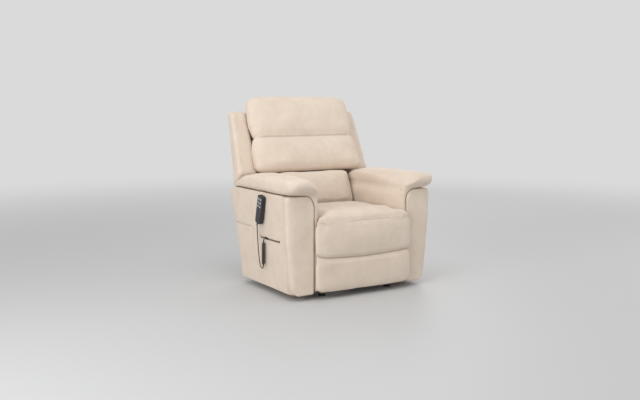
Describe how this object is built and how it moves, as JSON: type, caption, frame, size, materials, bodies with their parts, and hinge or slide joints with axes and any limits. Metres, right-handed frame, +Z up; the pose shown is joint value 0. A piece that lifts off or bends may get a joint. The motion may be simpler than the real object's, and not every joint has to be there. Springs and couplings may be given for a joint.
{
  "type": "lift recliner",
  "caption": "Padded power lift recliner with a reclining back, swing-out footrest, tilting lift base and a corded handset hung beside a side pocket.",
  "frame": {"origin": "on the floor, at the middle of the chair's overall footprint", "axes": "+Z up, -Y the way the sitter faces, -X the sitter's right, where the handset hangs"},
  "size_m": [0.9386, 0.8653, 1.0636],
  "materials": {
    "upholstery": "soft brushed cloth with a short suede-like nap",
    "lining": "plain woven lining",
    "painted_steel": "satin black powder coat",
    "plated_steel": "zinc plated",
    "rod_steel": "bright drawn tube",
    "timber": "sawn plywood and softwood",
    "webbing": "elastic upholstery webbing",
    "motor_plastic": "fine spark texture",
    "glide_plastic": "smooth moulded",
    "handset_plastic": "soft-touch moulded",
    "button_rubber": "matt silicone",
    "cord_jacket": "smooth satin jacket"
  },
  "bodies": {
    "base": {"base_side_rails": "painted_steel", "base_cross_tubes": "painted_steel", "base_glides": "glide_plastic", "base_lift_plates": "painted_steel", "power_supply": "motor_plastic"},
    "front_links": {"lift_front_links": "painted_steel"},
    "rear_links": {"lift_rear_links": "painted_steel", "lift_tie_tube": "painted_steel"},
    "lift_motor": {"lift_motor": "motor_plastic"},
    "lift_rod": {"lift_rod": "rod_steel"},
    "chassis": {"side_plates": "painted_steel", "chassis_cross_tubes": "painted_steel", "seat_side_rails": "timber", "seat_end_rails": "timber", "seat_webbing": "webbing", "seat_cushion": "upholstery", "control_box": "motor_plastic", "arm_mount_blocks": "timber", "arm_frames": "timber", "arm_side_left": "upholstery", "arm_side_right": "upholstery", "arm_fronts": "upholstery", "arm_inner_panels": "upholstery", "arm_pad_left": "upholstery", "arm_pad_right": "upholstery", "side_pocket": "lining", "handset_hook": "glide_plastic", "handset_body": "handset_plastic", "cord_lead": "cord_jacket", "cord_curls": "cord_jacket", "cord_tail": "cord_jacket", "cord_grommet": "glide_plastic"},
    "upper_links": {"foot_upper_links": "plated_steel"},
    "lower_links": {"foot_lower_links": "plated_steel", "foot_torque_tube": "plated_steel"},
    "long_links": {"foot_long_links": "plated_steel"},
    "control_links": {"foot_control_links": "plated_steel"},
    "footrest": {"foot_board": "timber", "foot_brackets": "painted_steel", "foot_upper_pad": "upholstery", "foot_lower_pad": "upholstery"},
    "leg_motor": {"leg_motor": "motor_plastic"},
    "leg_rod": {"leg_rod": "rod_steel"},
    "back": {"back_side_rails": "timber", "back_cross_rails": "timber", "back_brackets": "painted_steel", "back_webbing": "webbing", "back_wings": "upholstery", "rear_panel": "upholstery", "lumbar_cushion": "upholstery", "middle_cushion": "upholstery", "head_cushion": "upholstery"},
    "back_motor": {"back_motor": "motor_plastic"},
    "back_rod": {"back_rod": "rod_steel"},
    "button_raise": {"button_raise": "button_rubber"},
    "button_lower": {"button_lower": "button_rubber"},
    "button_back_down": {"button_back_down": "button_rubber"},
    "button_back_up": {"button_back_up": "button_rubber"},
    "button_legs_out": {"button_legs_out": "button_rubber"},
    "button_legs_in": {"button_legs_in": "button_rubber"}
  },
  "joints": [
    {"name": "lift", "type": "hinge", "parent": "base", "child": "front_links", "pos_m": [0, -0.284, 0.07], "axis": [1, 0, 0], "range_deg": [0, 58.72]},
    {"name": "chassis_tilt", "type": "hinge", "parent": "front_links", "child": "chassis", "pos_m": [0, -0.06, 0.09], "axis": [1, 0, 0], "range_deg": [-32.73, 0]},
    {"name": "rear_link_swing", "type": "hinge", "parent": "base", "child": "rear_links", "pos_m": [0, -0.226, 0.11], "axis": [1, 0, 0], "range_deg": [0, 48.84]},
    {"name": "lift_motor_tilt", "type": "hinge", "parent": "base", "child": "lift_motor", "pos_m": [0, 0.3, 0.075], "axis": [1, 0, 0], "range_deg": [-9.62, 0]},
    {"name": "lift_rod_slide", "type": "slide", "parent": "lift_motor", "child": "lift_rod", "axis": [0, -0.9601, 0.2795], "range_m": [0, 0.21099]},
    {"name": "footrest", "type": "hinge", "parent": "chassis", "child": "lower_links", "pos_m": [0, -0.204, 0.212], "axis": [-1, 0, 0], "range_deg": [0, 91.98]},
    {"name": "upper_link_swing", "type": "hinge", "parent": "chassis", "child": "upper_links", "pos_m": [0, -0.257, 0.264], "axis": [-1, 0, 0], "range_deg": [0, 91.98]},
    {"name": "long_link_swing", "type": "hinge", "parent": "lower_links", "child": "long_links", "pos_m": [0, -0.127, 0.081], "axis": [-1, 0, 0], "range_deg": [-90.04, 0]},
    {"name": "footboard_tilt", "type": "hinge", "parent": "long_links", "child": "footrest", "pos_m": [0, -0.359, 0.301], "axis": [-1, 0, 0], "range_deg": [0, 88.07]},
    {"name": "control_link_swing", "type": "hinge", "parent": "upper_links", "child": "control_links", "pos_m": [0, -0.16, 0.095], "axis": [-1, 0, 0], "range_deg": [-89.88, 0]},
    {"name": "leg_motor_tilt", "type": "hinge", "parent": "chassis", "child": "leg_motor", "pos_m": [-0.095, 0.115, 0.205], "axis": [1, 0, 0], "range_deg": [0, 2.19]},
    {"name": "leg_rod_slide", "type": "slide", "parent": "leg_motor", "child": "leg_rod", "axis": [0, -0.9944, -0.1055], "range_m": [0, 0.09852]},
    {"name": "recline", "type": "hinge", "parent": "chassis", "child": "back", "pos_m": [0, 0.1, 0.372], "axis": [-1, 0, 0], "range_deg": [0, 45]},
    {"name": "back_motor_tilt", "type": "hinge", "parent": "chassis", "child": "back_motor", "pos_m": [0.095, -0.19, 0.27], "axis": [1, 0, 0], "range_deg": [-0.52099, 0]},
    {"name": "back_rod_slide", "type": "slide", "parent": "back_motor", "child": "back_rod", "axis": [0, 0.9998, 0.0209], "range_m": [-0.08042, 0]},
    {"name": "button_raise_press", "type": "slide", "parent": "chassis", "child": "button_raise", "axis": [1, 0, 0], "range_m": [0, 0.0012], "stiffness_N_per_m": 500},
    {"name": "button_lower_press", "type": "slide", "parent": "chassis", "child": "button_lower", "axis": [1, 0, 0], "range_m": [0, 0.0012], "stiffness_N_per_m": 500},
    {"name": "button_back_down_press", "type": "slide", "parent": "chassis", "child": "button_back_down", "axis": [1, 0, 0], "range_m": [0, 0.0012], "stiffness_N_per_m": 500},
    {"name": "button_back_up_press", "type": "slide", "parent": "chassis", "child": "button_back_up", "axis": [1, 0, 0], "range_m": [0, 0.0012], "stiffness_N_per_m": 500},
    {"name": "button_legs_out_press", "type": "slide", "parent": "chassis", "child": "button_legs_out", "axis": [1, 0, 0], "range_m": [0, 0.0012], "stiffness_N_per_m": 500},
    {"name": "button_legs_in_press", "type": "slide", "parent": "chassis", "child": "button_legs_in", "axis": [1, 0, 0], "range_m": [0, 0.0012], "stiffness_N_per_m": 500}
  ],
  "couplings": [
    {"joint": "chassis_tilt", "follows": "lift", "ratio": -0.55725},
    {"joint": "rear_link_swing", "follows": "lift", "ratio": 0.83153},
    {"joint": "lift_motor_tilt", "follows": "lift", "ratio": -0.16378},
    {"joint": "lift_rod_slide", "follows": "lift", "m_per_rad": 0.20584},
    {"joint": "upper_link_swing", "follows": "footrest", "ratio": 0.99996},
    {"joint": "long_link_swing", "follows": "footrest", "ratio": -0.97889},
    {"joint": "footboard_tilt", "follows": "footrest", "ratio": 0.95738},
    {"joint": "control_link_swing", "follows": "footrest", "ratio": -0.97709},
    {"joint": "leg_motor_tilt", "follows": "footrest", "ratio": 0.023775},
    {"joint": "leg_rod_slide", "follows": "footrest", "m_per_rad": 0.061364},
    {"joint": "back_motor_tilt", "follows": "recline", "ratio": -0.011576},
    {"joint": "back_rod_slide", "follows": "recline", "m_per_rad": -0.10238}
  ]
}
